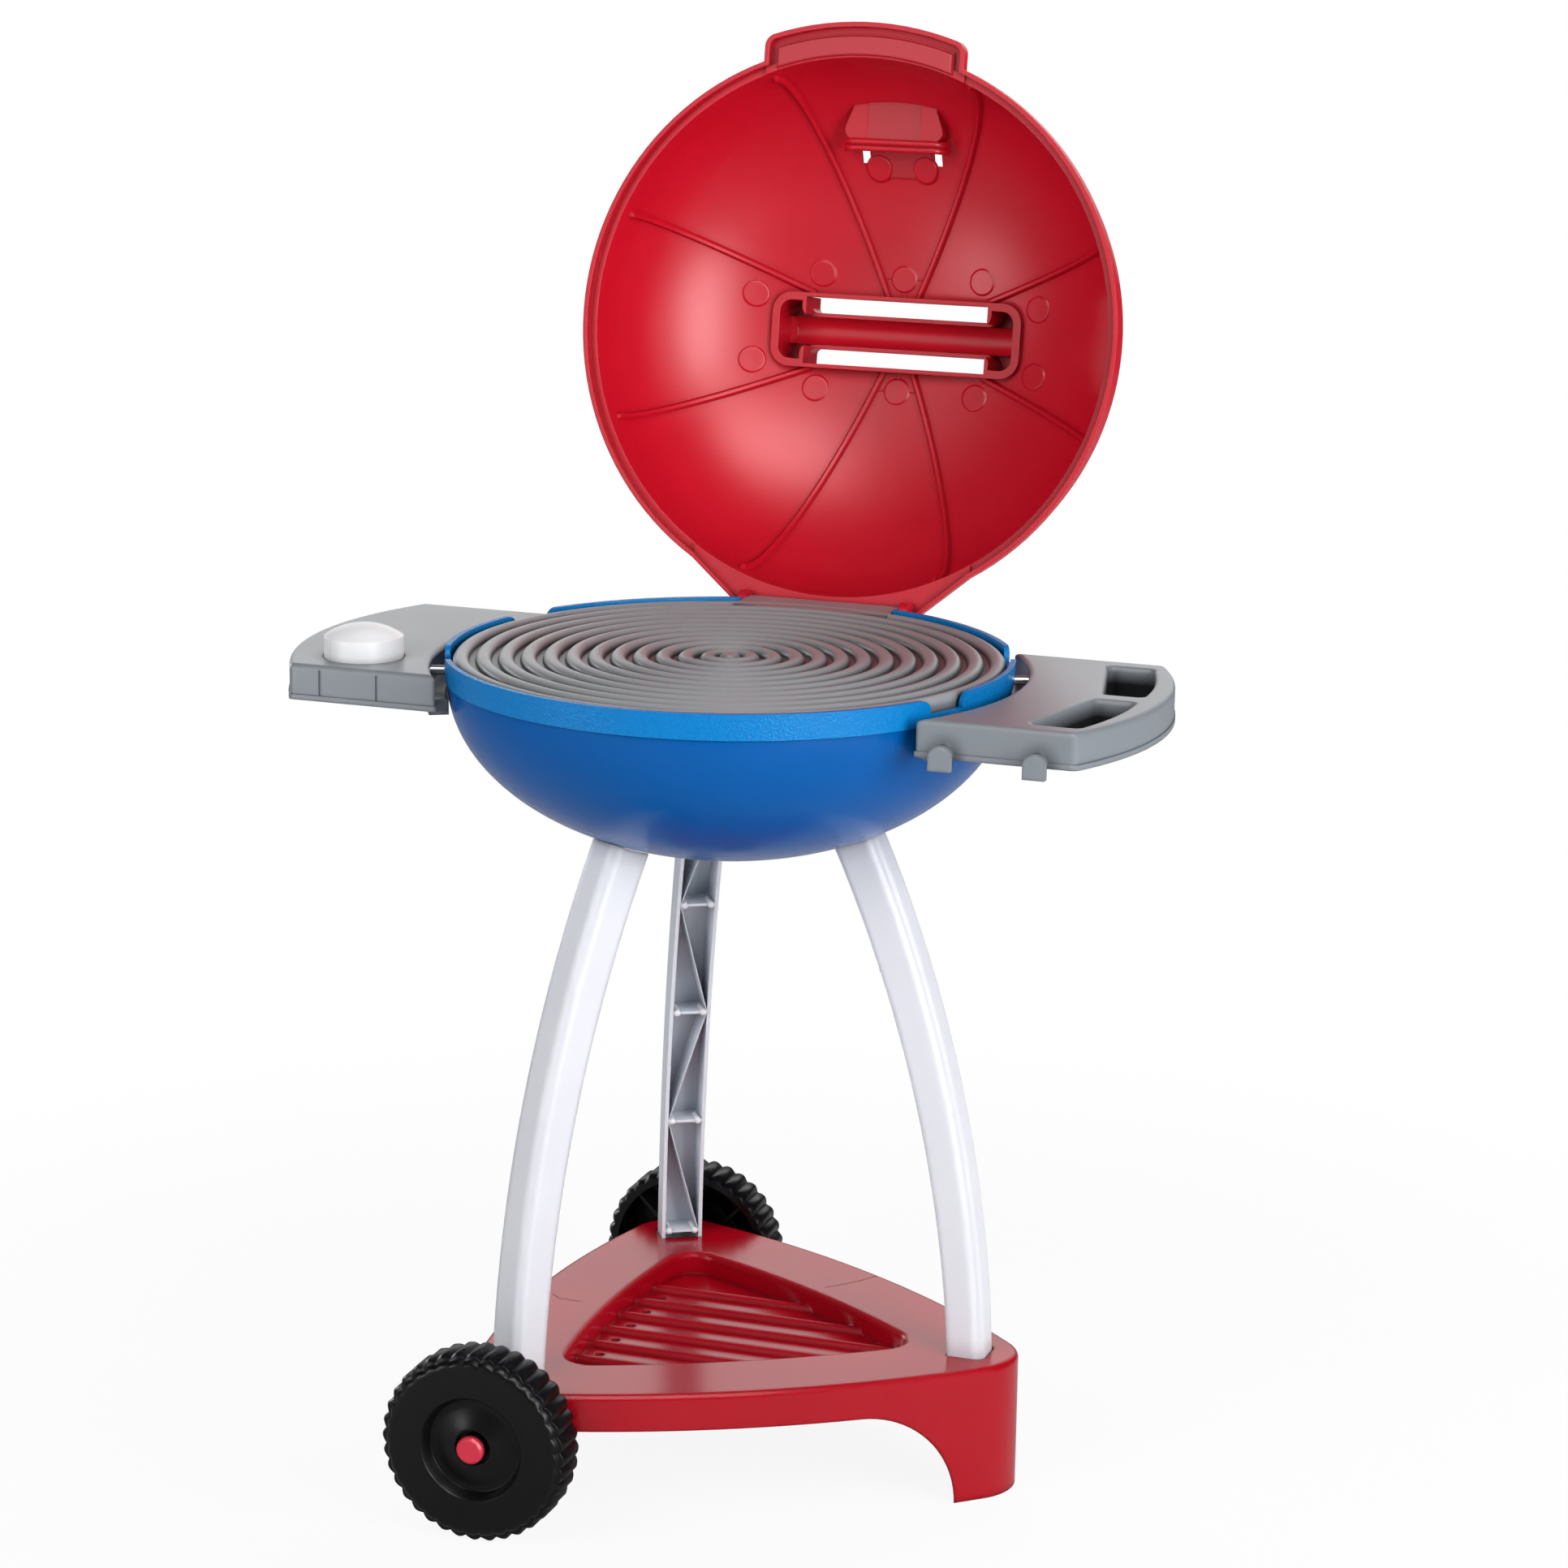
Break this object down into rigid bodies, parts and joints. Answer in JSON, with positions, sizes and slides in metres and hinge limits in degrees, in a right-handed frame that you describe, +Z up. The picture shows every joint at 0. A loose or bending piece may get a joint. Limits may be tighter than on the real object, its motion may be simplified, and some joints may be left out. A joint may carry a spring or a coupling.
{
  "type": "toy barbecue grill",
  "caption": "Toy kettle barbecue on three curved legs with a hinged domed lid, ringed grate, side shelves, a turning knob and wheels on a tray base.",
  "frame": {"origin": "on the floor, under the middle of the standing grill with its lid open", "axes": "+X to the push-handle shelf, +Y back towards the lid's hinge, +Z up"},
  "size_m": [0.5692, 0.5846, 0.916],
  "materials": {
    "lid_plastic": "satin",
    "base_plastic": "gloss",
    "bowl_plastic": "gloss",
    "grey_plastic": "satin",
    "leg_plastic": "satin",
    "wheel_plastic": "matt",
    "knob_plastic": "gloss",
    "steel": "brushed"
  },
  "bodies": {
    "stand": {"hinge_rod": "steel", "bowl": "bowl_plastic", "grate": "grey_plastic", "shelf_left": "grey_plastic", "shelf_right": "grey_plastic", "shelf_pins_left": "steel", "shelf_pins_right": "steel", "leg_front": "leg_plastic", "leg_rear": "leg_plastic", "leg_right": "leg_plastic", "leg_screws_upper": "steel", "leg_screws_lower": "steel", "base_tray": "base_plastic", "axle_front": "base_plastic", "axle_rear": "base_plastic"},
    "lid": {"lid": "lid_plastic"},
    "knob": {"knob": "knob_plastic", "knob_washer": "steel", "knob_screw": "steel"},
    "wheel_front": {"wheel_front": "wheel_plastic"},
    "wheel_rear": {"wheel_rear": "wheel_plastic"}
  },
  "joints": [
    {"name": "lid_hinge", "type": "hinge", "parent": "stand", "child": "lid", "pos_m": [0, 0.10973, 0.53], "axis": [1, 0, 0], "range_deg": [0, 99.5]},
    {"name": "knob_turn", "type": "hinge", "parent": "stand", "child": "knob", "pos_m": [-0.22403, -0.14427, 0.528], "axis": [0, 0, 1], "continuous": true},
    {"name": "wheel_front_spin", "type": "hinge", "parent": "stand", "child": "wheel_front", "pos_m": [-0.09, -0.27327, 0.062], "axis": [0, 1, 0], "continuous": true},
    {"name": "wheel_rear_spin", "type": "hinge", "parent": "stand", "child": "wheel_rear", "pos_m": [-0.09, 0.11673, 0.062], "axis": [0, 1, 0], "continuous": true}
  ]
}
